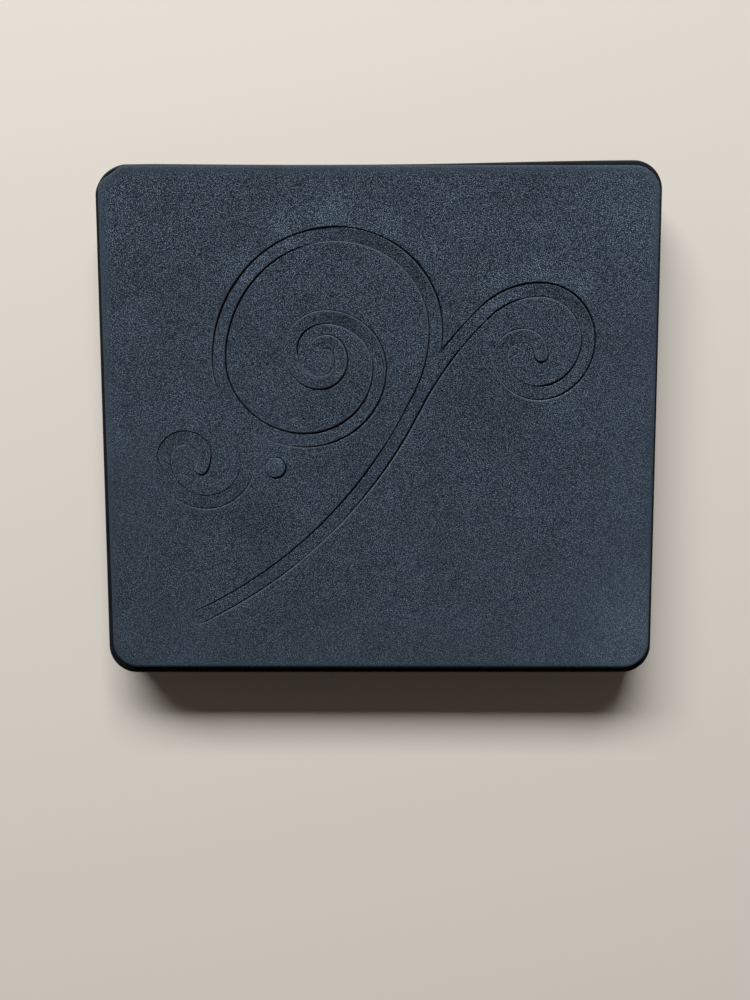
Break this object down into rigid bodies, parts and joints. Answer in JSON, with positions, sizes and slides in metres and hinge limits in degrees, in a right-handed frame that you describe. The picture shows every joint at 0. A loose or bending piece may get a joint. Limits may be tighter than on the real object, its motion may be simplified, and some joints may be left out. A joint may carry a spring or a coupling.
{
  "type": "steel rule cutting die",
  "caption": "Flat cutting die for a roller press: plastic tray, slotted board, bent steel rules that outline a scroll with volutes and a dot, and soft ejection foam that yields to the press.",
  "frame": {"origin": "centre of the tray's underside", "axes": "+X along the long side, +Y away from the tail of the scroll, +Z out of the cutting face"},
  "size_m": [0.1524, 0.1396, 0.0159],
  "materials": {
    "case_plastic": "satin",
    "board_wood": "matte",
    "adhesive_film": "satin",
    "rule_steel": "satin",
    "foam": "matte"
  },
  "bodies": {
    "die": {"case_tray": "case_plastic", "die_board": "board_wood", "foam_film": "adhesive_film", "stem_upper_rule": "rule_steel", "stem_lower_rule": "rule_steel", "volute_inner_rule": "rule_steel", "volute_outer_rule": "rule_steel", "coil_inner_rule": "rule_steel", "coil_outer_rule": "rule_steel", "left_outer_rule": "rule_steel", "left_inner_rule": "rule_steel", "arm_outer_rule": "rule_steel", "arm_inner_rule": "rule_steel", "dot_punch": "rule_steel"},
    "field_foam": {"field_foam": "foam"},
    "scroll_foam": {"scroll_foam": "foam"},
    "dot_foam": {"dot_foam": "foam"}
  },
  "joints": [
    {"name": "field_press", "type": "slide", "parent": "die", "child": "field_foam", "axis": [0, 0, -1], "range_m": [0, 0.0028], "stiffness_N_per_m": 2000, "deforming": ["field_foam"]},
    {"name": "scroll_press", "type": "slide", "parent": "die", "child": "scroll_foam", "axis": [0, 0, -1], "range_m": [0, 0.0028], "stiffness_N_per_m": 300, "deforming": ["scroll_foam"]},
    {"name": "dot_press", "type": "slide", "parent": "die", "child": "dot_foam", "axis": [0, 0, -1], "range_m": [0, 0.0028], "stiffness_N_per_m": 20, "deforming": ["dot_foam"]}
  ]
}
